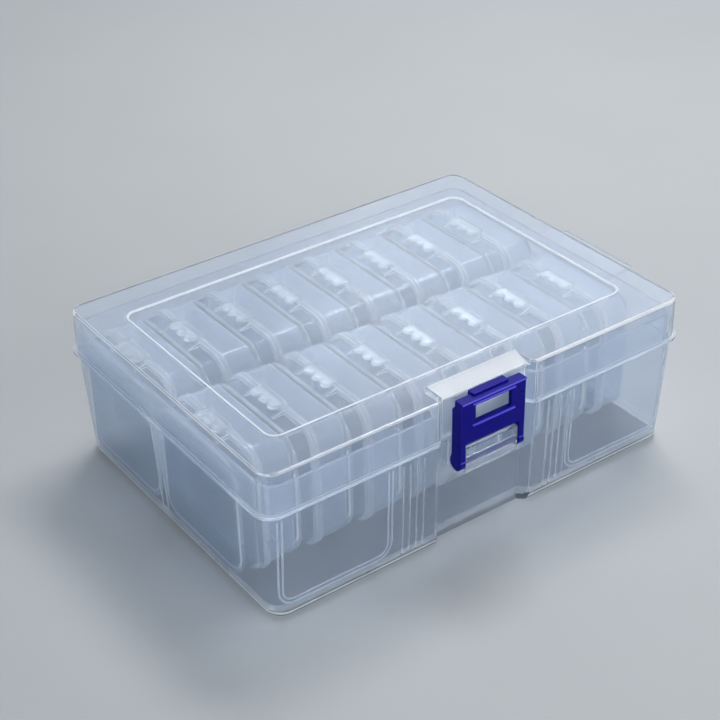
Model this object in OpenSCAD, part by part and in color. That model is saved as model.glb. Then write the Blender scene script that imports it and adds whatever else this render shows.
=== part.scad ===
// Bead organizer: a clear snap case that holds two rows of small hinged boxes.
// Origin at the centre of the case's underside. X runs along the long side,
// -Y is the latch side, +Z is up. Millimetres.

/* [Small boxes] */
// Thickness of one small box, cover and tray together
box_t = 25.2; // [20:0.1:32]
// Length of one small box, front to back
box_l = 61; // [45:0.5:80]
// Height of one small box as it stands in the case
box_h = 59.2; // [50:0.1:75]
// Corner radius of a small box
box_r = 10; // [5:0.5:14]
// Wall thickness of the small boxes
box_wall = 1.1; // [0.8:0.1:1.6]
// Depth of the cover half, its rim included
cover_d = 9.7; // [7.5:0.1:12]
// Thickness of the rim on each half
rim_t = 1.6; // [1:0.1:2.4]
// How far the rim stands proud of the tray's sides
rim_out = 0.8; // [0.4:0.1:1.2]
// How far the rim stands proud of the cover's sides
cover_in = 1.6; // [0.8:0.1:2.4]
// Gap between the cover's rim and the tray's rim
part_gap = 0.3; // [0.2:0.05:0.4]
// Length of the frosted thumb tab
tab_l = 17; // [10:0.5:26]
// Width of the thumb tab across the seam
tab_w = 7.8; // [6:0.1:9]
// Thickness of the thumb tab
tab_t = 1.4; // [1:0.1:1.6]
// Radius of the two bumps on the tab's free edge
bump_r = 2.4; // [1.5:0.1:2.8]
// Thickness of the guard ribs at the tab's ends
guard_t = 1.2; // [0.8:0.1:1.8]
// Gap between the tab and each guard rib
guard_gap = 1.2; // [0.6:0.1:2]
// Rounding of the small boxes' outer edges
box_edge = 2.5; // [1.5:0.1:3]

/* [Layout] */
// Small boxes in a row
columns = 8; // [4:1:10]
// Gap between neighbours in a row
col_gap = 0.8; // [0.6:0.1:1.6]
// Gap between the two rows
row_gap = 3.5; // [2:0.1:8]
// Free space in front of the front row
front_space = 22.5; // [16:0.5:40]
// Clearance behind the back row
back_clear = 1.1; // [0.8:0.1:3]
// Clearance at each end of a row, at the floor
end_clear = 0.1; // [0.1:0.1:1]
// Gap under the small boxes
rest_gap = 0.3; // [0.2:0.05:0.4]

/* [Case] */
// Wall thickness of the case
wall = 1.5; // [1.2:0.1:2]
// Floor thickness of the case
floor_t = 2; // [1.5:0.1:3]
// Outer corner radius of the case
corner_r = 8; // [6:0.5:12]
// How far each short side leans out, floor to shoulder
flare_x = 2.5; // [1:0.1:3]
// How far each long side leans out, floor to shoulder
flare_y = 1.5; // [0.8:0.1:2]
// How far the small boxes stand above the case's shoulder
grip_show = 9.6; // [6:0.1:12]
// Height of the neck that the lid covers
neck_h = 13.1; // [8:0.1:15]
// Wall thickness of the neck
neck_wall = 1.2; // [1:0.1:1.6]
// Size of the rounded edge under the case
foot_edge = 1.4; // [0.8:0.1:2]

/* [Lid] */
// Wall and top thickness of the lid
lid_wall = 1.5; // [1.2:0.1:2]
// Free height over the small boxes' tabs
headroom = 7.1; // [5:0.1:12]
// Clearance between the neck and the lid, at the short sides
lid_clear_x = 0.6; // [0.4:0.05:0.8]
// Clearance between the neck and the lid, at the long sides
lid_clear_y = 0.9; // [0.8:0.05:1]
// Gap between the case's shoulder and the lid's flange
seam = 0.3; // [0.2:0.05:0.4]
// Thickness of the lid's flange
flange_t = 1.6; // [1.2:0.1:2.4]
// How far the flange stands proud of the short sides
flange_x = 1.9; // [1:0.1:3]
// How far the flange stands proud of the long sides
flange_y = 1; // [0.6:0.1:2]
// Border between the lid's edge and its sunk panel, at the short sides
border_x = 16.8; // [12:0.1:24]
// Border between the lid's edge and its sunk panel, at the long sides
border_y = 20.6; // [14:0.1:28]
// Depth of the sunk panel
panel_d = 0.8; // [0.4:0.1:1.2]
// Corner radius of the sunk panel
panel_r = 5; // [3:0.5:10]

/* [Hang tab] */
// Reach of the hang tab beyond the flange
hang_out = 24; // [18:0.5:32]
// Width of the hang tab
hang_w = 50; // [40:1:70]
// Thickness of the hang tab
hang_t = 1.8; // [1.4:0.1:2.4]
// Length of the slot in the hang tab
slot_l = 32; // [20:1:36]
// Width of the slot in the hang tab
slot_w = 9.5; // [6:0.5:12]
// Strip between the flange's edge and the slot
slot_edge = 2.5; // [2:0.1:5]
// Corner radius of the hang tab
hang_r = 4; // [2:0.5:8]
// Corner radius of the slot
slot_r = 3; // [1:0.1:3]

/* [Latch] */
// Width of the latch
latch_w = 33.6; // [28:0.2:38]
// Width of each leg of the latch
leg_w = 2.6; // [2:0.1:3.4]
// Depth of the latch, front to back
latch_d = 5.9; // [5:0.1:6.6]
// Thickness of the latch's front plate
plate_t = 2; // [1.5:0.1:2.4]
// Height of the pivot above the floor's underside
pivot_z = 39; // [34:0.5:42]
// Radius of the pivot rod
rod_r = 1.9; // [1.5:0.1:2.1]
// Radial clearance of the pivot rod
rod_clear = 0.07; // [0.03:0.01:0.1]
// Radius of the round ends of the legs
knuckle_r = 3.6; // [3:0.1:3.6]
// Width of the window in the latch
window_w = 18.8; // [12:0.2:21]
// Height of the window in the latch
window_h = 7.7; // [5:0.1:9]
// Height of the lid's catch above the lid's flange
catch_up = 13.5; // [11:0.1:15]
// Width of the lid's catch
catch_w = 22; // [14:0.5:26]

/* [Recess] */
// Depth of the recess behind the latch
recess_d = 4; // [3:0.1:5]
// Width of the recess at its back
recess_w = 43; // [38:0.5:56]
// How much wider the recess is at its mouth, each side
recess_slant = 4.5; // [2:0.1:7]

/* [Hinge] */
// Distance of each hinge from the middle of the back
hinge_x = 60; // [40:1:75]
// Width of each lid knuckle
hinge_w = 20; // [12:0.5:30]
// Radius of the hinge pins
pin_r = 1.8; // [1.4:0.1:2]
// Radial clearance on the hinge pins
pin_clear = 0.06; // [0.03:0.01:0.1]
// Outer radius of the lid knuckles
hinge_r = 3.6; // [3:0.1:3.6]
// Thickness of the ears that hold the pins
ear_t = 2.4; // [1.8:0.1:3.5]

/* [Hidden] */
ROWS = ["f", "b"];

$fn = 48;
eps = 0.01;
over = 1;            // how far a cut runs past what it cuts
side_gap = 0.3;      // between faces of pieces that move past each other
snap = 0.85;         // mouth of a snap-in bearing, as a share of its rod
fine = 32;           // segments of the hulled corners

clear_plastic = [0.80, 0.87, 0.95, 0.45];
box_plastic = [0.86, 0.92, 0.98, 0.5];
blue_plastic = [0.05, 0.04, 0.50];

// small boxes
pitch = box_t + col_gap;
array_l = columns * pitch;
tray_d = box_t - cover_d - part_gap;
guard_l = 7.2;                        // length of the guard ribs across the cover
guard_u = cover_d - guard_l;
guard_flat = 1;                       // flat end of the guard ribs, at the cover's rim
box_z = floor_t + rest_gap;
box_top = box_z + box_h;
tab_top = box_top + side_gap + tab_t;

// case
in_l = array_l + 2 * end_clear;
in_w = front_space + 2 * box_l + row_gap + back_clear;
case_l = in_l + 2 * wall;
case_w = in_w + 2 * wall;
base_h = box_top - grip_show;
neck_top = base_h + neck_h;
neck_out_x = 0.6;                     // neck's inner face beyond the floor's, short sides
neck_in_y = 0.3;                      // and inside it, long sides
neck_l = in_l + 2 * neck_wall + 2 * neck_out_x;
neck_w = in_w + 2 * neck_wall - 2 * neck_in_y;
back_row_y = in_w / 2 - back_clear - box_l / 2;
front_row_y = back_row_y - box_l - row_gap;

// lid
lid_l = neck_l + 2 * lid_clear_x + 2 * lid_wall;
lid_w = neck_w + 2 * lid_clear_y + 2 * lid_wall;
lid_z = base_h + seam;
lid_under = tab_top + headroom;
panel_top = lid_under + lid_wall;
lid_top = panel_top + panel_d;
lid_r = corner_r - 1;
lid_edge = 1.2;                       // rounding of the lid's top edge
skirt_x = 0.4;                        // how far the skirt leans out, short sides
skirt_y = 0.1;                        // and long sides
flange_l = lid_l + 2 * flange_x;
flange_w = lid_w + 2 * flange_y;

// latch and recess
latch_gap = 0.4;                      // between the latch and the lid's front
recess_mouth = 12;                    // how far the recess's cut runs on past its mouth
recess_step = 0.3;                    // how much shallower the recess is in the lid
recess_lid_y = -lid_w / 2 + recess_d - recess_step;
latch_back = recess_lid_y - latch_gap;
latch_front = latch_back - latch_d;
pivot_in = 3.3;                       // from the latch's front to the rod's axis
pivot_y = latch_front + pivot_in;
catch_top = lid_z + catch_up;
catch_t = 2.8;
catch_out = 3.2;                      // reach of the lid's catch into the recess
hook_t = 3.2;
hook_z = catch_top + side_gap;
latch_top = hook_z + hook_t;
hump_w = 18;                          // hump on the hook, for the thumb
hump_h = 1;
hook_short = 1.6;                     // how far the hook stops short of the latch's back
plate_up = 9.5;                       // from the rod's axis to the front plate's lower edge
plate_bottom = pivot_z + plate_up;
line_t = 0.8;                         // raised lines on the latch's front
line_out = 0.6;
holder_clear = 0.6;                   // between the holder and each leg
holder_w = latch_w - 2 * leg_w - 2 * holder_clear;
holder_wall = 0.9;
holder_front = pivot_y - rod_r - rod_clear - holder_wall;
holder_down = 4.8;
holder_up = 7.1;
pad_l = 8.5;                          // length of the sloped pad over the latch
pad_drop = 2.2;                       // drop of the sloped pad at its front
pad_side = 1.5;                       // reach of the pad beyond the recess, each side

// hinge
hinge_out = 0.5;                      // between the shoulder and the lid knuckles
hinge_down = 1.4;                     // from the flange's underside to the pins' axis
hinge_y = case_w / 2 + flare_y + hinge_out + hinge_r;
hinge_z = lid_z - hinge_down;
pin_seat = 0.8;                       // ear around the pin
ear_h = 9;
ear_root = 2.6;                       // from the pins' axis back to the ear's upper edge

// inner ribs and flutes
cove = 1;                             // size of the cove along the floor's long sides
rib_t = 0.9;
rib_out = 1.5;
rib_apart = 4.6;
flute_r = 0.7;
flute_step = 3.5;
flute_x = 33;

function lean(z) = z / base_h;
function base_half_w(z) = case_w / 2 + flare_y * lean(z);

// Rounded rectangle, centred
module round_rect(l, w, r) {
  square([l - 2 * r, w], center = true);
  square([l, w - 2 * r], center = true);
  for (x = [-1, 1], y = [-1, 1])
    translate([x * (l / 2 - r), y * (w / 2 - r)]) circle(r);
}

// Thin slab of a rounded rectangle, for the hulled shells
module slab(l, w, r, z) {
  translate([0, 0, z]) linear_extrude(eps) round_rect(l, w, r, $fn = fine);
}

// Outline of the recess behind the latch, from its back face outwards
module recess_shape(back_y, grow) {
  mouth_x = recess_w / 2 + recess_slant + grow;
  polygon([
    [-recess_w / 2 - grow, back_y + grow],
    [recess_w / 2 + grow, back_y + grow],
    [mouth_x, back_y - recess_d - recess_step],
    [mouth_x, back_y - recess_d - recess_mouth],
    [-mouth_x, back_y - recess_d - recess_mouth],
    [-mouth_x, back_y - recess_d - recess_step]
  ]);
}

// The recess cut through the leaning front wall
module base_recess(grow) {
  hull() {
    translate([0, 0, -over]) linear_extrude(eps) recess_shape(-case_w / 2 + recess_d, grow);
    translate([0, 0, base_h]) linear_extrude(eps)
      recess_shape(-base_half_w(base_h) + recess_d, grow);
  }
}

// ---- Case base ----

module base_outside() {
  foot_l = case_l - 2 * foot_edge;
  foot_w = case_w - 2 * foot_edge;
  linear_extrude(foot_edge / 2) round_rect(foot_l, foot_w, corner_r - foot_edge);
  hull() {
    slab(foot_l, foot_w, corner_r - foot_edge, foot_edge / 2 - eps);
    slab(case_l - 0.7 * foot_edge, case_w - 0.7 * foot_edge, corner_r - 0.35 * foot_edge, foot_edge);
    slab(case_l, case_w, corner_r, 2 * foot_edge);
    slab(case_l + 2 * flare_x, case_w + 2 * flare_y, corner_r, base_h - eps);
  }
}

// Space inside the base, with a cove along the floor's long sides
module base_inside() {
  hull() {
    slab(in_l - 4 * end_clear, in_w - 4 * cove, corner_r - wall - 4 * end_clear, floor_t);
    slab(in_l, in_w - cove, corner_r - wall, floor_t + cove);
    slab(in_l + 2 * end_clear, in_w, corner_r - wall, floor_t + 3 * cove);
    slab(case_l + 2 * flare_x - 2 * wall, case_w + 2 * flare_y - 2 * wall,
      corner_r - wall, base_h - wall);
  }
}

// Neck that the lid closes over, with its own recess behind the latch
module neck_shape(inset) {
  difference() {
    round_rect(neck_l - 2 * inset, neck_w - 2 * inset, corner_r - wall - inset);
    recess_shape(recess_lid_y, lid_wall + lid_clear_y + side_gap + inset);
  }
}

module neck_outside() {
  translate([0, 0, base_h - wall]) linear_extrude(neck_h + wall) neck_shape(0);
}

module neck_inside() {
  translate([0, 0, base_h - wall - eps]) linear_extrude(neck_h + wall + over) neck_shape(neck_wall);
}

// Vertical ribs inside the short walls, level with the gap between the rows
module divider_ribs() {
  rib_y = (front_row_y + back_row_y) / 2 - rib_apart;
  for (side = [-1, 1], y = [0, rib_apart])
    translate([side * (in_l / 2 + rib_out) - rib_out, rib_y + y - rib_t / 2, floor_t - eps])
      cube([2 * rib_out, rib_t, base_h - floor_t - wall]);
}

// Shallow flutes beside the recess, cut into the outside of the front wall
module front_flutes() {
  for (side = [-1, 1], i = [0:3])
    translate([side * (flute_x + i * flute_step), -case_w / 2 - flute_r / 5, 3 * foot_edge])
      rotate([atan(flare_y / base_h), 0, 0])
        cylinder(r = flute_r, h = base_h - 5 * foot_edge, $fn = 24);
}

// Clear hook on the front that the latch's rod snaps into from below
module latch_holder() {
  root_y = -base_half_w(pivot_z) + recess_d + wall / 3;
  difference() {
    translate([-holder_w / 2, holder_front, pivot_z - holder_down])
      cube([holder_w, root_y - holder_front, holder_down + holder_up]);
    translate([-holder_w / 2 - over, pivot_y, pivot_z]) rotate([0, 90, 0])
      cylinder(r = rod_r + rod_clear, h = holder_w + 2 * over);
    translate([-holder_w / 2 - over, pivot_y - rod_r * snap, pivot_z - holder_down - over])
      cube([holder_w + 2 * over, 2 * rod_r * snap, holder_down + over]);
  }
}

// Ears on the back wall with a fixed pin between each pair
module hinge_ears() {
  ear_r = pin_r + pin_seat;
  pin_l = hinge_w + 2 * side_gap + ear_t;
  root_y = case_w / 2 - wall / 3;
  for (side = [-1, 1]) {
    for (e = [-1, 1])
      translate([side * hinge_x + e * (hinge_w / 2 + side_gap + ear_t / 2) - ear_t / 2, 0, 0])
        rotate([90, 0, 90]) linear_extrude(ear_t) {
          translate([hinge_y, hinge_z]) circle(ear_r);
          polygon([
            [root_y, hinge_z - ear_h], [root_y, lid_z - 2 * seam],
            [hinge_y - ear_root, lid_z - 2 * seam], [hinge_y, hinge_z + ear_r],
            [hinge_y + ear_r, hinge_z], [hinge_y + ear_r * sin(33), hinge_z - ear_r * cos(33)]
          ]);
        }
    translate([side * hinge_x - pin_l / 2, hinge_y, hinge_z]) rotate([0, 90, 0])
      cylinder(r = pin_r, h = pin_l);
  }
}

module case_base() {
  color(clear_plastic) {
    difference() {
      union() {
        difference() {
          base_outside();
          base_recess(0);
          front_flutes();
        }
        neck_outside();
      }
      difference() {
        base_inside();
        base_recess(wall);
        divider_ribs();
      }
      neck_inside();
    }
    latch_holder();
    difference() {
      hinge_ears();
      base_inside();
    }
  }
}

// ---- Case lid ----

module lid_recess(grow) {
  recess_shape(recess_lid_y, grow);
}

module lid_outside() {
  hull() {
    slab(lid_l + 2 * skirt_x, lid_w + 2 * skirt_y, lid_r, lid_z + flange_t / 2);
    slab(lid_l, lid_w, lid_r, lid_top - lid_edge);
    for (step = [[0.3, 0.3], [0.9, eps]])
      slab(lid_l - 2 * step[0] * lid_edge, lid_w - 2 * step[0] * lid_edge,
        lid_r - step[0] * lid_edge, lid_top - step[1] * lid_edge);
  }
  translate([0, 0, lid_z]) linear_extrude(flange_t) round_rect(flange_l, flange_w, lid_r + 1);
}

module panel_shape(grow) {
  round_rect(lid_l - 2 * border_x + 2 * grow, lid_w - 2 * border_y + 2 * grow, panel_r + grow);
}

module lid_inside() {
  difference() {
    translate([0, 0, lid_z - over]) linear_extrude(lid_top - lid_wall - lid_z + over)
      difference() {
        round_rect(lid_l - 2 * lid_wall, lid_w - 2 * lid_wall, lid_r - lid_wall);
        lid_recess(lid_wall);
      }
    translate([0, 0, lid_under]) linear_extrude(2 * panel_d + over) panel_shape(lid_wall);
    translate([-recess_w / 2 - pad_side - over / 2, recess_lid_y - over, lid_top - pad_drop - lid_wall])
      cube([recess_w + 2 * pad_side + over, pad_l + over + lid_wall / 2, pad_drop + over]);
  }
}

// Sloped pad on the lid's top edge, over the latch
module pad_cut() {
  translate([-recess_w / 2 - pad_side, recess_lid_y + pad_l, lid_top])
    rotate([atan(pad_drop / pad_l), 0, 0])
      translate([0, -2 * pad_l - recess_d, 0])
        cube([recess_w + 2 * pad_side, 2 * pad_l + recess_d, 3 * pad_drop]);
}

// Ledge that the latch hooks over
module lid_catch() {
  translate([-catch_w / 2, recess_lid_y - catch_out, catch_top - catch_t])
    cube([catch_w, catch_out + lid_wall / 2, catch_t]);
}

module hang_tab() {
  root_x = lid_l / 2 - lid_wall / 2;
  end_x = flange_l / 2 + hang_out;
  slot_x = flange_l / 2 + slot_edge + slot_w / 2;
  translate([0, 0, lid_z]) linear_extrude(hang_t) difference() {
    union() {
      translate([root_x, -hang_w / 2]) square([end_x - root_x - hang_r, hang_w]);
      translate([root_x, -hang_w / 2 + hang_r]) square([end_x - root_x, hang_w - 2 * hang_r]);
      for (y = [-1, 1]) translate([end_x - hang_r, y * (hang_w / 2 - hang_r)]) circle(hang_r);
    }
    translate([slot_x, 0]) round_rect(slot_w, slot_l, slot_r);
  }
}

// Split knuckles that snap over the hinge pins
module hinge_knuckles() {
  web_y = lid_w / 2 - lid_wall / 2;
  for (side = [-1, 1]) translate([side * hinge_x - hinge_w / 2, 0, 0]) difference() {
    union() {
      translate([0, hinge_y, hinge_z]) rotate([0, 90, 0]) cylinder(r = hinge_r, h = hinge_w);
      translate([0, web_y, lid_z]) cube([hinge_w, hinge_y - web_y, hinge_z + hinge_r - lid_z]);
    }
    translate([-over, hinge_y, hinge_z]) rotate([0, 90, 0])
      cylinder(r = pin_r + pin_clear, h = hinge_w + 2 * over);
    translate([-over, hinge_y, hinge_z - pin_r * snap])
      cube([hinge_w + 2 * over, hinge_r + over, 2 * pin_r * snap]);
  }
}

module case_lid() {
  color(clear_plastic) {
    difference() {
      lid_outside();
      lid_inside();
      translate([0, 0, lid_z - over]) linear_extrude(lid_top) lid_recess(0);
      translate([0, 0, panel_top]) linear_extrude(panel_d + over) panel_shape(0);
      pad_cut();
    }
    lid_catch();
    hang_tab();
    hinge_knuckles();
  }
}

// ---- Latch ----

module latch_side() {
  rotate([90, 0, 90]) linear_extrude(leg_w) polygon([
    [latch_front, pivot_z], [latch_front, latch_top], [latch_front + plate_t, latch_top],
    [latch_back, hook_z - hook_short], [latch_back, pivot_z + knuckle_r],
    [pivot_y + knuckle_r * cos(30), pivot_z + knuckle_r / 2], [pivot_y, pivot_z]
  ]);
}

module latch() {
  leg_x = latch_w / 2 - leg_w / 2;
  color(blue_plastic) {
    difference() {
      union() {
        translate([-latch_w / 2, latch_front, plate_bottom])
          cube([latch_w, plate_t, latch_top - plate_bottom]);
        translate([-latch_w / 2, latch_front, hook_z])
          cube([latch_w, latch_d - hook_short, hook_t]);
        translate([-hump_w / 2, latch_front + plate_t, hook_z])
          cube([hump_w, latch_d - plate_t, hook_t + hump_h]);
      }
      translate([-window_w / 2, latch_front - over, hook_z - window_h])
        cube([window_w, plate_t + 2 * over, window_h]);
    }
    for (z = [hook_z - window_h - 2 * line_t, hook_z + line_t])
      translate([-window_w / 2 - 2 * line_t, latch_front - line_out, z])
        cube([window_w + 4 * line_t, line_out + eps, line_t]);
    translate([-latch_w / 2, latch_front - line_out, latch_top - line_t])
      cube([latch_w, line_out + eps, line_t]);
    for (side = [-1, 1]) {
      translate([side * leg_x - leg_w / 2, 0, 0]) latch_side();
      translate([side * leg_x - leg_w / 2, pivot_y, pivot_z]) rotate([0, 90, 0])
        cylinder(r = knuckle_r, h = leg_w);
    }
    translate([-leg_x, pivot_y, pivot_z]) rotate([0, 90, 0]) cylinder(r = rod_r, h = 2 * leg_x);
  }
}

// ---- Small boxes ----

// Outline of a small box in the Y-Z plane, shrunk by inset, extruded along X
module box_slice(u, depth, inset) {
  translate([u, 0, box_z + box_h / 2]) rotate([90, 0, 90]) linear_extrude(depth)
    round_rect(box_l - 2 * inset, box_h - 2 * inset, box_r - inset);
}

// Block whose far edges are rounded, standing in the X-Y plane; far is 1 or -1
module round_far(u0, u1, w, h, z, far) {
  side = far > 0 ? u0 : u1;
  translate([0, 0, z]) linear_extrude(h) union() {
    translate([min(side, side + far * (u1 - u0 - box_edge)), -w / 2]) square([u1 - u0 - box_edge, w]);
    translate([u0, -w / 2 + box_edge]) square([u1 - u0, w - 2 * box_edge]);
    for (y = [-1, 1])
      translate([far > 0 ? u1 - box_edge : u0 + box_edge, y * (w / 2 - box_edge)]) circle(box_edge);
  }
}

// Half shell's body with its far edges rounded in plan and in side view
module soft_body(u0, u1, inset, far) {
  mid = box_z + box_h / 2;
  intersection() {
    box_slice(u0, u1 - u0, inset);
    round_far(u0, u1, box_l - 2 * inset, box_h, box_z, far);
    translate([0, 0, mid]) rotate([90, 0, 0]) translate([0, 0, -mid])
      round_far(u0, u1, box_h - 2 * inset, box_l, mid - box_l / 2, far);
  }
}

// The tray, with the frosted tab that springs over the cover's rim
module tray_half() {
  u = box_t - tray_d;
  tab_u = u + rim_t - tab_w;
  difference() {
    union() {
      box_slice(u, rim_t, 0);
      soft_body(u + rim_t - eps, box_t, rim_out, 1);
    }
    box_slice(u - over, tray_d - box_wall + over, rim_out + box_wall);
  }
  translate([tab_u + bump_r, -tab_l / 2, box_top + side_gap]) cube([tab_w - bump_r, tab_l, tab_t]);
  for (y = [-1, 0, 1]) translate([tab_u + bump_r, y * (tab_l / 2 - bump_r), box_top + side_gap])
    cylinder(r = bump_r, h = tab_t);
  translate([u, -tab_l / 2, box_top - rim_t]) cube([rim_t, tab_l, rim_t + side_gap + eps]);
}

// The cover, with a guard rib at each end of the tab
module cover_half() {
  difference() {
    union() {
      soft_body(0, cover_d - rim_t + eps, cover_in, -1);
      box_slice(cover_d - rim_t, rim_t, 0);
    }
    box_slice(box_wall, cover_d, cover_in + box_wall);
  }
  for (y = [-1, 1])
    translate([0, y * (tab_l / 2 + guard_gap + guard_t / 2) + guard_t / 2, 0]) rotate([90, 0, 0])
      linear_extrude(guard_t) polygon([
        [cover_d - rim_t / 2, box_top - cover_in - box_wall / 2], [cover_d - rim_t / 2, box_top],
        [cover_d - rim_t - guard_flat, box_top], [guard_u, box_top - cover_in + guard_flat / 2],
        [guard_u, box_top - cover_in - box_wall / 2]
      ]);
}

module small_box(name, half) {
  row_y = name[0] == "f" ? front_row_y : back_row_y;
  k = ord(name[1]) - ord("1");
  color(box_plastic)
    translate([-array_l / 2 + col_gap / 2 + k * pitch, row_y, 0])
      if (half == "tray") tray_half(); else cover_half();
}

case_base();
case_lid();
latch();
for (r = ROWS, k = [1:columns], half = ["tray", "cover"])
  small_box(str(r, k), half);
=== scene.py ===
import bpy
import bmesh
from math import cos, pi, radians, sin
from mathutils import Matrix, Vector


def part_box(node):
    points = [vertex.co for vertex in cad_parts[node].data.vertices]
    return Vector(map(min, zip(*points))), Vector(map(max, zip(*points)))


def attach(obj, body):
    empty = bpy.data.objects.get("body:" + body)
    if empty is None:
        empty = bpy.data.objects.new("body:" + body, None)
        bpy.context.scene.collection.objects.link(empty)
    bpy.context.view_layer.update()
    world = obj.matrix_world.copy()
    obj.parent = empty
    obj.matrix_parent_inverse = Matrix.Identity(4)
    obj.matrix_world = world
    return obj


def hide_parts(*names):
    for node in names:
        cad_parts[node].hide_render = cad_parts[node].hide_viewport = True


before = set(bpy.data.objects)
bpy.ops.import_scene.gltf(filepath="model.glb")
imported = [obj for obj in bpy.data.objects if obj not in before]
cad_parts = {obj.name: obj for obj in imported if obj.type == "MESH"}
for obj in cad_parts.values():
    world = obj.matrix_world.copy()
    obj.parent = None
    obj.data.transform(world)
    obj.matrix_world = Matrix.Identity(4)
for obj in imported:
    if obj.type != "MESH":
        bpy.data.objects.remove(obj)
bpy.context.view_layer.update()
mm = 0.001                      # sizes are in mm, and the scene is in metres

# ---- Camera ----
# A long lens in front of the latch side, a little to the left and above, so that the front, the
# left side and the top of the case all show and the upright edges lean in only slightly.
camera_at = Vector((-355.97, -486.14, 429.90)) * mm
camera_right = Vector((0.8072, -0.5901, -0.0160))
camera_up = Vector((0.3298, 0.4283, 0.8413))

lens = bpy.data.cameras.new("camera")
lens.lens = 81
lens.sensor_width = 36
camera = bpy.data.objects.new("camera", lens)
bpy.context.scene.collection.objects.link(camera)
camera_back = camera_right.cross(camera_up).normalized()
camera_right = camera_up.cross(camera_back).normalized()
camera_axes = Matrix((camera_right, camera_back.cross(camera_right), camera_back)).transposed()
camera.matrix_world = Matrix.Translation(camera_at) @ camera_axes.to_4x4()
bpy.context.scene.camera = camera


# ---- Case base ----
# The open lower half of the case: one injection moulding in milky clear polypropylene, with a
# floor, leaning walls, a narrower neck for the lid, a recess for the latch and two pairs of ears
# with a pin between them. Its moulded edges gather the light, painted on them as white lines.
def linear(code):
    """Linear colour of an sRGB hex value such as "#C8D0D8"."""
    parts = [int(code[i:i + 2], 16) / 255 for i in (1, 3, 5)]
    return [c / 12.92 if c <= 0.04045 else ((c + 0.055) / 1.055) ** 2.4 for c in parts] + [1]


def add(material, kind, settings=None, **sockets):
    """Adds a node of that kind, sets its properties and gives each named input a value or a
    link. An input named i0, i1 and so on is taken by its number."""
    tree = material.node_tree
    node = tree.nodes.new("ShaderNode" + kind)
    for name, value in (settings or {}).items():
        setattr(node, name, value)
    for name, value in sockets.items():
        key = int(name[1:]) if name[0] == "i" and name[1:].isdigit() else name.replace("_", " ")
        if isinstance(value, bpy.types.NodeSocket):
            tree.links.new(value, node.inputs[key])
        else:
            node.inputs[key].default_value = value
    return node


def new_material(name):
    material = bpy.data.materials.new(name)
    material.use_nodes = True
    material.node_tree.nodes.clear()
    return material


def milky_plastic(name, tint, haze, roughness, wave, relief, body_tint="#FAFBFD",
                  cloud_size=38.0, uneven=0.25):
    """Clear polypropylene: a refracting body with a cloudy share of haze, which varies with the
    melt's flow over cloud_size, in mm, and a skin with waves of that length, in mm."""
    m = new_material(name)
    place = add(m, "TexCoord").outputs["Object"]
    flow = add(m, "TexNoise", Vector=place, Scale=1 / (cloud_size * mm), Detail=3.0,
               Roughness=0.6)
    cloud = add(m, "MapRange", Value=flow.outputs[0], From_Min=0.3, From_Max=0.7,
                To_Min=haze * (1 - uneven), To_Max=haze * (1 + uneven))
    skin = add(m, "TexNoise", Vector=place, Scale=1 / (wave * mm), Detail=2.0)
    bump = add(m, "Bump", Strength=relief, Distance=0.0002, Height=skin.outputs[0])
    clear = add(m, "BsdfPrincipled", Base_Color=linear(body_tint), Roughness=roughness, IOR=1.49,
                Transmission_Weight=1.0, Normal=bump.outputs[0])
    # Light on its way to a surface behind goes straight through, as it does through thin plastic.
    shade = add(m, "BsdfTransparent", Color=linear("#F4F7FA"))
    body = add(m, "MixShader", i0=add(m, "LightPath").outputs["Is Shadow Ray"],
               i1=clear.outputs[0], i2=shade.outputs[0])
    near = add(m, "BsdfDiffuse", Color=linear(tint), Normal=bump.outputs[0])
    through = add(m, "BsdfTranslucent", Color=linear(tint))
    milk = add(m, "MixShader", i0=0.5, i1=near.outputs[0], i2=through.outputs[0])
    whole = add(m, "MixShader", i0=cloud.outputs[0], i1=body.outputs[0], i2=milk.outputs[0])
    add(m, "OutputMaterial", Surface=whole.outputs[0])
    return m


# Polished clear polypropylene of the case, faintly blue, with slight waves from the mould.
case_clear = milky_plastic("clear_polypropylene_case", "#D2DCEA", haze=0.15, roughness=0.06,
                           wave=16.7, relief=0.10, body_tint="#F0F4F9")
# The pair of ribs on each short wall, level with the gap between the rows, is thick and cloudy,
# and is made whiter still as a painted highlight of its two upright lines.
rib_cloudy_highlight = milky_plastic("cloudy_wall_rib_highlight", "#F0F5FC", haze=0.60, roughness=0.08, wave=5.0,
                           relief=0.05)
# The foot of the walls is thicker, and so milkier. The walls of the latch recess are made milkier
# as painted fill light, where they stand in shade.
milky_wall_and_painted_fill = milky_plastic("thick_milky_wall_and_painted_fill", "#DCE5EE", haze=0.33, roughness=0.08, wave=16.7,
                            relief=0.08)
# Painted highlight: the same plastic made nearly white where an edge gathers light.
edge_highlight_white = milky_plastic("painted_highlight_moulded_edge", "#FAFCFF", haze=0.85, roughness=0.12,
                           wave=3.3, relief=0.05)


def finished_mesh(bm, name, crease=50):
    """Mesh of a bmesh, smooth but for edges sharper than the crease, in degrees."""
    mesh = bpy.data.meshes.new(name)
    bm.to_mesh(mesh)
    bm.free()
    mesh.shade_smooth()
    mesh.set_sharp_from_angle(angle=radians(crease))
    return mesh


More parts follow.
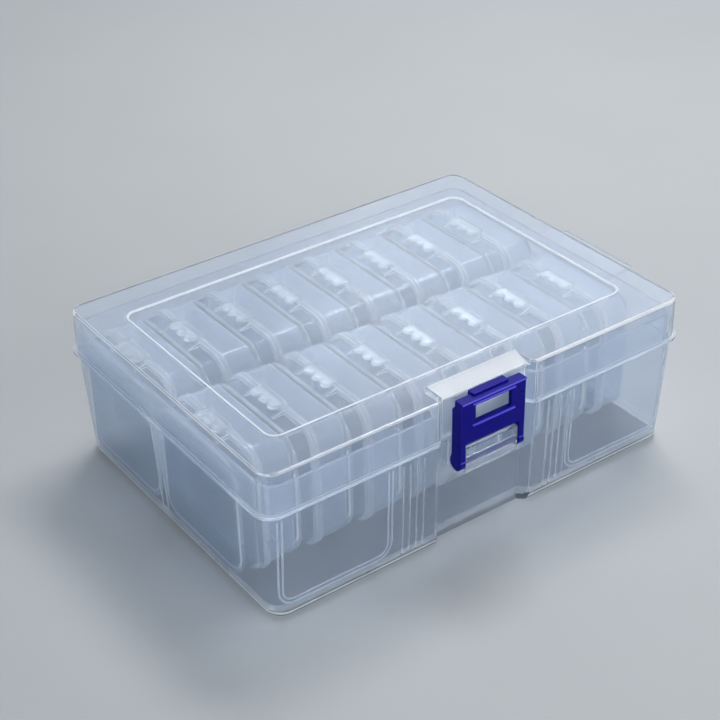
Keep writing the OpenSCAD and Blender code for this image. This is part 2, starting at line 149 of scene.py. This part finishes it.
def moulded(node, rounding, finishes, finish_of, cut_heights=()):
    """Mesh of a CAD node with its sharp edges rounded. Faces have the first finish and rounded
    faces the second, unless finish_of(centre, normal), with the centre in mm, gives another
    one. Cuts at heights in mm let the lower part of a wall have its own finish."""
    weld = 0.002                # mm; the node's mesh is loose triangles
    flat = 0.4                  # degrees; triangles this level with each other become one face
    corner = 35                 # degrees; an edge sharper than this is rounded
    bm = bmesh.new()
    bm.from_mesh(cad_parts[node].data)
    bmesh.ops.remove_doubles(bm, verts=bm.verts, dist=weld * mm)
    bmesh.ops.dissolve_limit(bm, angle_limit=radians(flat), verts=bm.verts, edges=bm.edges)
    bm.normal_update()
    sharp = [e for e in bm.edges
             if len(e.link_faces) == 2 and e.calc_face_angle(0) > radians(corner)]
    rounded = bmesh.ops.bevel(bm, geom=sharp, offset=rounding * mm, offset_type="OFFSET",
                              affect="EDGES", segments=2, profile=0.5, material=-1,
                              clamp_overlap=True, loop_slide=True)
    for face in rounded["faces"]:
        face.material_index = 1
    for height in cut_heights:
        bmesh.ops.bisect_plane(bm, geom=bm.verts[:] + bm.edges[:] + bm.faces[:], dist=1e-7,
                               plane_co=(0, 0, height * mm), plane_no=(0, 0, 1))
    for face in bm.faces:
        finish = finish_of(face.calc_center_median() / mm, face.normal)
        if finish is not None:
            face.material_index = finishes.index(finish)
    bmesh.ops.triangulate(bm, faces=[f for f in bm.faces if len(f.verts) > 4])
    mesh = finished_mesh(bm, node + "_moulded")
    for finish in finishes:
        mesh.materials.append(finish)
    return mesh


def shell_piece(name, mesh):
    """An object for a moulded shell, with flat faces that stay flat beside rounded edges."""
    piece = bpy.data.objects.new(name, mesh)
    bpy.context.scene.collection.objects.link(piece)
    weigh = piece.modifiers.new("flat_faces", "WEIGHTED_NORMAL")
    weigh.weight = 100
    weigh.keep_sharp = True
    return piece


base_rounding = 0.5
foot_edge = 2.8                 # the rounded edge under the walls ends at this height
foot_band = 6.2                 # and the thick foot of the walls at this one
rib_from_x = 101.0
rib_inner_x = 104.1             # the ribs' inner faces
rib_inner_match = 0.1
rib_low_y = 5.4
rib_high_y = 11.8
recess_half = 27.0              # half width of the recess behind the latch
recess_front = -77.0
recess_back = -60.0
holder_foot = 27.0              # the wall behind the latch, made milkier as painted fill light, starts at this height
upright = 0.2                   # a face with a smaller normal.z than this stands upright


def base_face(centre, normal):
    # Painted highlight: the faces of the ribs are made cloudy white.
    by_ribs = (abs(centre.x) > rib_from_x and rib_low_y < centre.y < rib_high_y
               and centre.z > foot_edge)
    on_inner_face = abs(abs(centre.x) - rib_inner_x) < rib_inner_match
    if by_ribs and (abs(normal.y) > 0.9 or on_inner_face):
        return rib_cloudy_highlight
    # Painted highlight: the rounded edge under the walls is made nearly white.
    if centre.z < foot_edge and -0.95 < normal.z < -0.2:
        return edge_highlight_white
    # Painted fill light: the walls of the latch recess, which stand in shade, are made milkier.
    in_recess = (abs(centre.x) < recess_half and recess_front < centre.y < recess_back
                 and centre.z > holder_foot)
    foot = foot_edge < centre.z < foot_band and abs(normal.z) < upright
    return milky_wall_and_painted_fill if foot or (in_recess and normal.y < -0.8) else None


base = shell_piece("base_shell", moulded(
    "case_base", base_rounding, [case_clear, edge_highlight_white, rib_cloudy_highlight, milky_wall_and_painted_fill], base_face,
    cut_heights=(foot_band, holder_foot)))
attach(base, "case")
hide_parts("case_base")


# ---- Coves of the front compartments ----
# Beside the latch recess the front wall forms two compartments, whose inner corners and foot are
# rounded and thick. Two cloudy white beads along each cove are painted highlights of its rounding,
# which show through the wall as white frames.
def swept_bead(bm, path, radius):
    """A round bead of that radius along a list of points, closed at both ends."""
    last = len(path) - 1
    rings = []
    for i, point in enumerate(path):
        along = (path[min(i + 1, last)] - path[max(i - 1, 0)]).normalized()
        # A ring is turned by an axis that the bead doesn't run along there.
        aside = Vector((0, 0, 1) if abs(along.y) > 0.9 else (0, 1, 0))
        across = along.cross(aside).normalized()
        axes = Matrix((across, along.cross(across), along)).transposed().to_4x4()
        ring = bmesh.ops.create_circle(bm, cap_ends=i in (0, last), segments=8, radius=radius,
                                       matrix=Matrix.Translation(point) @ axes)
        rings.append({edge for vert in ring["verts"] for edge in vert.link_edges})
    for one, other in zip(rings, rings[1:]):
        bmesh.ops.bridge_loops(bm, edges=list(one) + list(other))


def bead_piece(name, paths, radius, finish, body):
    """One piece of beads along several paths, riding on a body."""
    bm = bmesh.new()
    for path in paths:
        swept_bead(bm, path, radius)
    bmesh.ops.recalc_face_normals(bm, faces=bm.faces)
    mesh = finished_mesh(bm, name, crease=60)
    mesh.materials.append(finish)
    piece = bpy.data.objects.new(name, mesh)
    bpy.context.scene.collection.objects.link(piece)
    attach(piece, body)
    return piece


def quarter_arc(start, radius):
    """Seven offsets from the centre of an arc that runs a quarter turn on from that angle."""
    return [(radius * cos(start + step * pi / 12), radius * sin(start + step * pi / 12))
            for step in range(7)]


# A thick corner of the same plastic is cloudier than the wall, and whiter still as a painted
# highlight.
cove_cloudy_highlight = milky_plastic("thick_cloudy_cove_highlight", "#E4ECF6", haze=0.30, roughness=0.10, wave=5.0,
                            relief=0.05)
compartments = ((-102.6, -48.0), (46.0, 102.6))     # left and right end of each
cove_radius = 0.42
cove_width = 1.9                # between the two painted highlight lines of a cove
cove_corner = 7.0
cove_bottom = 6.0
cove_top = 49.0
wall_inside_low = 74.2          # half width between the long walls, at the floor
wall_inside_high = 76.0         # and at the shoulder


def cove_point(x, z):
    """A point on the inside of the leaning front wall."""
    rise = z / cove_top
    return Vector((x, -(wall_inside_low + (wall_inside_high - wall_inside_low) * rise), z)) * mm


def cove_frame(x_left, x_right, inset):
    """Down one side of a compartment, along its foot and up the other side."""
    corner = cove_corner - inset
    low = cove_bottom + inset + corner
    path = [cove_point(x_left + inset, cove_top)]
    for x, start in ((x_left + cove_corner, pi), (x_right - cove_corner, 1.5 * pi)):
        path += [cove_point(x + across, low + up) for across, up in quarter_arc(start, corner)]
    return path + [cove_point(x_right - inset, cove_top)]


# Painted highlight: two cloudy white beads along each cove.
cove_highlight_lines = bead_piece("front_compartment_cove_highlights",
                   [cove_frame(x_left, x_right, inset)
                    for x_left, x_right in compartments for inset in (0, cove_width)],
                   cove_radius * mm, cove_cloudy_highlight, "case")


# ---- Case lid ----
# The hinged upper half: the same polypropylene, with a flange all round, a sunk panel, a slotted
# hang tab and two split knuckles. Its rounded rim and flange carry a painted highlight, whitest at
# the back and right, and the sloped pad over the latch has a satin face painted almost white.
# Painted highlight, softer: the lid's rounded rim where the light falls on it less.
rim_soft_highlight = milky_plastic("soft_highlight_lid_rim", "#E8EFF8", haze=0.24, roughness=0.26, wave=5.0,
                         relief=0.05)
# The pad's satin grain is real; its near white is a painted highlight of the light it reflects.
pad_satin_highlight = milky_plastic("satin_pad_painted_highlight", "#F2F4F6", haze=0.55, roughness=0.35, wave=2.0,
                          relief=0.15)
lid_rounding = 0.5
lid_top = 72.6
rim_from_x = 106.0              # the top's outer edge lies beyond these two
rim_from_y = 76.0
rim_height = 1.2
highlight_back_y = 70.0            # the rim's painted highlight is whitest at the back and to the right of the pad
flange_x = 109.5                # the flange's outer faces lie beyond these two
flange_y = 78.6
flange_top = 52.0
tab_x = 111.0                   # the hang tab begins here
pad_x = 23.0                    # half width and back edge of the sloped pad
pad_y = -64.0
pad_low = 69.0
step_x = 92.5                   # the step down to the sunk panel lies within these two
step_y = 58.5
step_depth = 0.85


def lid_face(centre, normal):
    # Painted highlight: the flange's upright faces are made nearly white.
    on_flange = abs(centre.x) > flange_x or abs(centre.y) > flange_y
    if (on_flange and centre.z < flange_top and abs(normal.z) < upright
            and abs(centre.x) < tab_x):
        return edge_highlight_white
    # Painted fill light: the lid's wall over the latch recess, in shade, is made milkier.
    if (abs(centre.x) < recess_half and centre.y < recess_back and centre.z < pad_low
            and normal.y < -0.9):
        return milky_wall_and_painted_fill
    # Painted highlight: the face of the sloped pad over the latch.
    if (abs(centre.x) < pad_x and centre.y < pad_y and centre.z > pad_low
            and 0.9 < normal.z < 0.99):
        return pad_satin_highlight
    # Painted highlight on the rounded rim: nearly white at the back and right of the pad, softer
    # elsewhere.
    near_rim = abs(centre.x) > rim_from_x or abs(centre.y) > rim_from_y
    if near_rim and centre.z > lid_top - rim_height and 0.2 < normal.z < 0.95:
        strong_highlight = centre.y > highlight_back_y or (centre.y < 0 and centre.x > pad_x)
        return edge_highlight_white if strong_highlight else rim_soft_highlight
    # Painted highlight: the faces of the step round the sunk panel are made nearly white.
    on_step = (abs(centre.x) < step_x and abs(centre.y) < step_y
               and centre.z > lid_top - step_depth)
    return edge_highlight_white if on_step and normal.z < 0.97 else None


lid = shell_piece("lid_shell", moulded(
    "case_lid", lid_rounding, [case_clear, edge_highlight_white, pad_satin_highlight, rim_soft_highlight, milky_wall_and_painted_fill],
    lid_face))
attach(lid, "lid")
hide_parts("case_lid")

# The step round the sunk panel is a small radius full of light. A white bead on it, a painted
# highlight, reads as one white line.
panel_half_x = 91.6
panel_half_y = 57.7
panel_corner = 5.3
step_radius = 0.38


def rounded_loop(half_x, half_y, corner, z):
    """Points of a rounded rectangle, in metres, with the first one again at the end."""
    points = []
    for turn, (side_x, side_y) in enumerate(((1, 1), (-1, 1), (-1, -1), (1, -1))):
        points += [Vector((side_x * (half_x - corner) + to_x,
                           side_y * (half_y - corner) + to_y, z)) * mm
                   for to_x, to_y in quarter_arc(turn * pi / 2, corner)]
    return points + [points[0]]


panel_line = rounded_loop(panel_half_x, panel_half_y, panel_corner, lid_top - step_radius)
panel_step = bead_piece("panel_step_highlight_bead", [panel_line], step_radius * mm, edge_highlight_white, "lid")


# ---- Latch ----
# One moulding in solid dark blue plastic: a plate with a window, raised lines and a thumb hump, a
# hook that holds the lid's catch, and two legs on a rod that snaps into the clear holder.
def blue_plastic(name, dark, light, roughness):
    """Solid blue plastic: its colour drifts over flow_size, its gloss and relief over
    skin_size, both in mm."""
    flow_size = 11
    skin_size = 4
    m = new_material(name)
    place = add(m, "TexCoord").outputs["Object"]
    flow = add(m, "TexNoise", Vector=place, Scale=1 / (flow_size * mm), Detail=3.0)
    tone = add(m, "ValToRGB", Fac=flow.outputs[0])
    for stop, (position, colour) in enumerate(((0.3, dark), (0.7, light))):
        tone.color_ramp.elements[stop].position = position
        tone.color_ramp.elements[stop].color = linear(colour)
    skin = add(m, "TexNoise", Vector=place, Scale=1 / (skin_size * mm), Detail=1.0)
    sheen = add(m, "MapRange", Value=skin.outputs[0], To_Min=roughness * 0.8,
                To_Max=roughness * 1.2)
    bump = add(m, "Bump", Strength=0.02, Distance=0.0001, Height=skin.outputs[0])
    surface = add(m, "BsdfPrincipled", Base_Color=tone.outputs[0], Roughness=sheen.outputs[0],
                  IOR=1.5, Specular_IOR_Level=0.1, Normal=bump.outputs[0])
    add(m, "OutputMaterial", Surface=surface.outputs[0])
    return m


# Solid deep blue, satin gloss, and its rounded edges, painted lighter as a highlight.
latch_blue = blue_plastic("deep_blue_moulded_latch", "#08027C", "#0A0484", roughness=0.30)
latch_edge_highlight = blue_plastic("deep_blue_latch_painted_highlight", "#1C15A8", "#241DB2", roughness=0.22)
# The raised lines on the front are painted light blue as a highlight.
latch_line_highlight = blue_plastic("raised_line_painted_highlight", "#5A56E6", "#6C68F2", roughness=0.22)
latch_rounding = 0.3
line_depth = 0.55               # a face this near to the latch's foremost point is on a line
plate_low = 40.0                # the legs below this height have no lines
latch_front = (Vector(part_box("latch")[0]) / mm).y


def latch_face(centre, normal):
    # Painted highlight on the raised lines.
    on_line = centre.y < latch_front + line_depth and centre.z > plate_low
    return latch_line_highlight if on_line and normal.z > -0.3 else None


latch = shell_piece("latch_clip", moulded(
    "latch", latch_rounding, [latch_blue, latch_edge_highlight, latch_line_highlight], latch_face))
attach(latch, "latch")
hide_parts("latch")


# ---- Small boxes ----
# Sixteen upright boxes in two rows. Each is one clear moulding of a deep tray and a shallow cover,
# which meet at two white rims; a frosted tab on the tray snaps over the cover's rim.

# Clear plastic of the tray, a little cloudier than the case.
tray_clear = milky_plastic("clear_polypropylene_tray", "#CCD9EC", haze=0.20, roughness=0.06,
                           wave=12.5, relief=0.08, body_tint="#F0F4F8")
# The cover is thinner, so it shows darker.
cover_clear = milky_plastic("clear_polypropylene_cover", "#9FBBD8", haze=0.06, roughness=0.06,
                            wave=12.5, relief=0.10, body_tint="#CFDFEC")
# The rims, seen edge on, are cloudy white. The same white on the boxes' outer rounded edges is a
# painted highlight.
rim_white_and_highlight = milky_plastic("cloudy_box_rim_and_highlight", "#F0F5FC", haze=0.30, roughness=0.10, wave=3.3,
                          relief=0.05)
# The tab has a spark-eroded grip face, drawn coarser than it is so that it shows.
tab_frosted = milky_plastic("frosted_thumb_tab", "#BEC8D2", haze=0.15, roughness=0.19,
                            wave=1.43, relief=0.40, cloud_size=2.4, uneven=0.8)

box_rounding = 0.3
box_top = 61.5
just_above = 0.05
tray_rim = 1.65
cover_rim = 1.65
seam_gap = 0.3                  # between a tray and its cover
past_rim = 1.0
box_names = [row + str(number) for row in "fb" for number in range(1, 9)]
tray_low, tray_high = (Vector(corner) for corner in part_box("box_f1_tray"))
cover_low, cover_high = (Vector(corner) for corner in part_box("box_f1_cover"))
seam_x = cover_high.x / mm + seam_gap
row_y = (tray_low.y + tray_high.y) / 2 / mm


def tray_face(centre, normal):
    if centre.z > box_top + just_above:
        return tab_frosted
    # Painted highlight: the tray's far rounded edge is made cloudy white, lightening its dark line.
    far_edge_highlight = 0.25 < normal.x < 0.97 and centre.x > seam_x + tray_rim + past_rim
    return rim_white_and_highlight if far_edge_highlight or centre.x < seam_x + tray_rim else None


def cover_face(centre, normal):
    # Painted highlight: the cover's outer rounded corner is made cloudy white.
    outer_corner_highlight = -0.97 < normal.x < -0.25
    return rim_white_and_highlight if outer_corner_highlight or centre.x > seam_x - seam_gap - cover_rim else None


tray_mesh = moulded("box_f1_tray", box_rounding,
                    [tray_clear, edge_highlight_white, rim_white_and_highlight, tab_frosted], tray_face)
cover_mesh = moulded("box_f1_cover", box_rounding, [cover_clear, edge_highlight_white, rim_white_and_highlight],
                     cover_face)


def small_box_half(name, mesh, half, body):
    """One more copy of a moulded half, set where its CAD node stands."""
    node = f"box_{name}_{half}"
    shift = Vector(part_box(node)[0]) - Vector(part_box(f"box_f1_{half}")[0])
    copy = mesh.copy()
    copy.transform(Matrix.Translation(shift))
    piece = shell_piece(f"{half}_{name}", copy)
    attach(piece, body)
    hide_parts(node)


for name in box_names:
    small_box_half(name, tray_mesh, "tray", "box_" + name)
    small_box_half(name, cover_mesh, "cover", "cover_" + name)


# ---- Small features of the boxes ----
# Parts of the same mouldings: three low thumb pads on each tab, the bead under the tab that clicks
# over the cover's rim and the thin web on which the cover folds. A white bead along the cover's
# thick outer corner, down its front end, along its foot and up its back end, is a painted
# highlight.
tab_top = 63.2
pad_places = (-5.6, 0, 5.6)
pad_in = 3.0                    # from the seam to the middle of the pads
pad_radius = 2.3
pad_height = 0.24
bead_in = 1.1                   # from the seam
bead_up = 0.14                  # above the box's top
bead_half = 6.5
bead_radius = 0.16
web_half = 17.0
web_width = 1.5
web_thickness = 0.18
web_under = 0.1                 # below the tray's foot
web_rounding = 0.06
cover_inset = 2.15
cover_corner = 7.85
corner_highlight_radius = 0.4
corner_highlight_in = 0.1
corner_highlight_top = 44.0
corner_highlight_up = 2.2            # the painted highlight ends a little above the cover's foot


def thumb_pads(bm):
    for place in pad_places:
        dome = bmesh.ops.create_uvsphere(bm, u_segments=20, v_segments=10, radius=1)
        bmesh.ops.scale(bm, verts=dome["verts"],
                        vec=Vector((pad_radius, pad_radius, pad_height)) * mm)
        bmesh.ops.translate(bm, verts=dome["verts"],
                            vec=Vector((seam_x - pad_in, row_y + place, tab_top)) * mm)


def snap_bead(bm):
    ends = [Vector((seam_x - bead_in, row_y + side * bead_half, box_top + bead_up)) * mm
            for side in (-1, 1)]
    swept_bead(bm, [ends[0], ends[0].lerp(ends[1], 0.5), ends[1]], bead_radius * mm)


def hinge_web(bm):
    block = bmesh.ops.create_cube(bm, size=1)
    bmesh.ops.scale(bm, verts=block["verts"],
                    vec=Vector((web_width, 2 * web_half, web_thickness)) * mm)
    bmesh.ops.translate(bm, verts=block["verts"],
                        vec=Vector((seam_x - seam_gap / 2, row_y,
                                    tray_low.z / mm - web_under)) * mm)
    bmesh.ops.bevel(bm, geom=[e for e in bm.edges if e.verts[0] in block["verts"]],
                    offset=web_rounding * mm, offset_type="OFFSET", affect="EDGES", segments=2,
                    profile=0.5, material=-1, clamp_overlap=True)


# Painted highlight: a white bead along the cover's thick outer corner, which lies in shade.
def cover_corner_highlight(bm):
    half = (cover_high.y - cover_low.y) / 2 / mm - cover_inset
    foot = cover_low.z / mm + cover_inset + corner_highlight_up
    path = [Vector((0, -half, corner_highlight_top))]
    for side, start in ((-1, pi), (1, 1.5 * pi)):
        path += [Vector((0, side * (half - cover_corner) + across, foot + cover_corner + up))
                 for across, up in quarter_arc(start, cover_corner)]
    path += [Vector((0, half, corner_highlight_top))]
    at = Vector((cover_low.x / mm + corner_highlight_radius + corner_highlight_in, row_y, 0))
    swept_bead(bm, [(point + at) * mm for point in path], corner_highlight_radius * mm)


def small_feature(name, build, finish, body="box"):
    """The same small feature on every box, each copy moved to its place."""
    bm = bmesh.new()
    build(bm)
    bmesh.ops.recalc_face_normals(bm, faces=bm.faces)
    mesh = finished_mesh(bm, name)
    mesh.materials.append(finish)
    for box_name in box_names:
        copy = mesh.copy()
        copy.transform(Matrix.Translation(Vector(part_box(f"box_{box_name}_tray")[0]) - tray_low))
        piece = bpy.data.objects.new(f"{name}_{box_name}", copy)
        bpy.context.scene.collection.objects.link(piece)
        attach(piece, f"{body}_{box_name}")


small_feature("thumb_pads", thumb_pads, tab_frosted)
small_feature("snap_bead", snap_bead, rim_white_and_highlight)
small_feature("hinge_web", hinge_web, edge_highlight_white)
small_feature("cover_corner_highlight", cover_corner_highlight, edge_highlight_white, "cover")


# ---- Studio ----
# A plain pale table. A small lamp and a strip above give the small boxes their highlights, a broad
# panel behind and to the right gives the lid its even sheen, and broad ones in front and on the
# left open up the upright walls.
def pale_table(name, dark, light):
    """Matt board, faintly mottled over the size below."""
    mottle_size = 110
    m = new_material(name)
    place = add(m, "TexCoord").outputs["Object"]
    mottle = add(m, "TexNoise", Vector=place, Scale=1 / (mottle_size * mm), Detail=4.0)
    tone = add(m, "Mix", {"data_type": "RGBA"}, i0=mottle.outputs[0], i6=linear(dark),
               i7=linear(light))
    surface = add(m, "BsdfPrincipled", Base_Color=tone.outputs[2], Roughness=0.6)
    add(m, "OutputMaterial", Surface=surface.outputs[0])
    return m


bpy.ops.mesh.primitive_plane_add(size=12)
floor = bpy.context.object
floor.name = "floor"
floor.data.materials.append(pale_table("pale_table", "#A4A8AC", "#AAAEB2"))

world = bpy.data.worlds.new("studio")
bpy.context.scene.world = world
world.use_nodes = True
background = world.node_tree.nodes["Background"]
background.inputs["Color"].default_value = linear("#AEB4BC")
background.inputs["Strength"].default_value = 0.3

lit_point = Vector((0, 0, 0.03))        # about the middle of the case


def soft_light(name, at, size, watts):
    """A rectangular lamp that faces the case; its place and size are in metres."""
    data = bpy.data.lights.new(name, "AREA")
    data.shape = "RECTANGLE"
    data.size, data.size_y = size
    data.energy = watts
    lamp = bpy.data.objects.new(name, data)
    bpy.context.scene.collection.objects.link(lamp)
    lamp.location = at
    lamp.rotation_euler = (lit_point - Vector(at)).to_track_quat("-Z", "Y").to_euler()
    lamp.visible_camera = False


soft_light("key", (0.28, -0.05, 0.95), (0.6, 0.6), 1.0)
soft_light("strip", (0.52, 0.33, 0.96), (0.6, 0.20), 9.5)
soft_light("sheen", (0.85, 1.2, 0.95), (1.7, 1.2), 5)
soft_light("front", (0.25, -1.3, 0.6), (2.2, 1.0), 13)
soft_light("fill", (-1.1, 0.1, 0.5), (1.8, 1.0), 5)

# Many clear walls stand one behind another, so light needs many steps to get through them.
studio = bpy.context.scene
studio.cycles.max_bounces = 24
studio.cycles.transmission_bounces = 24
studio.cycles.transparent_max_bounces = 32
studio.cycles.glossy_bounces = 4
studio.cycles.diffuse_bounces = 3
studio.cycles.use_denoising = True
studio.view_settings.view_transform = "Standard"
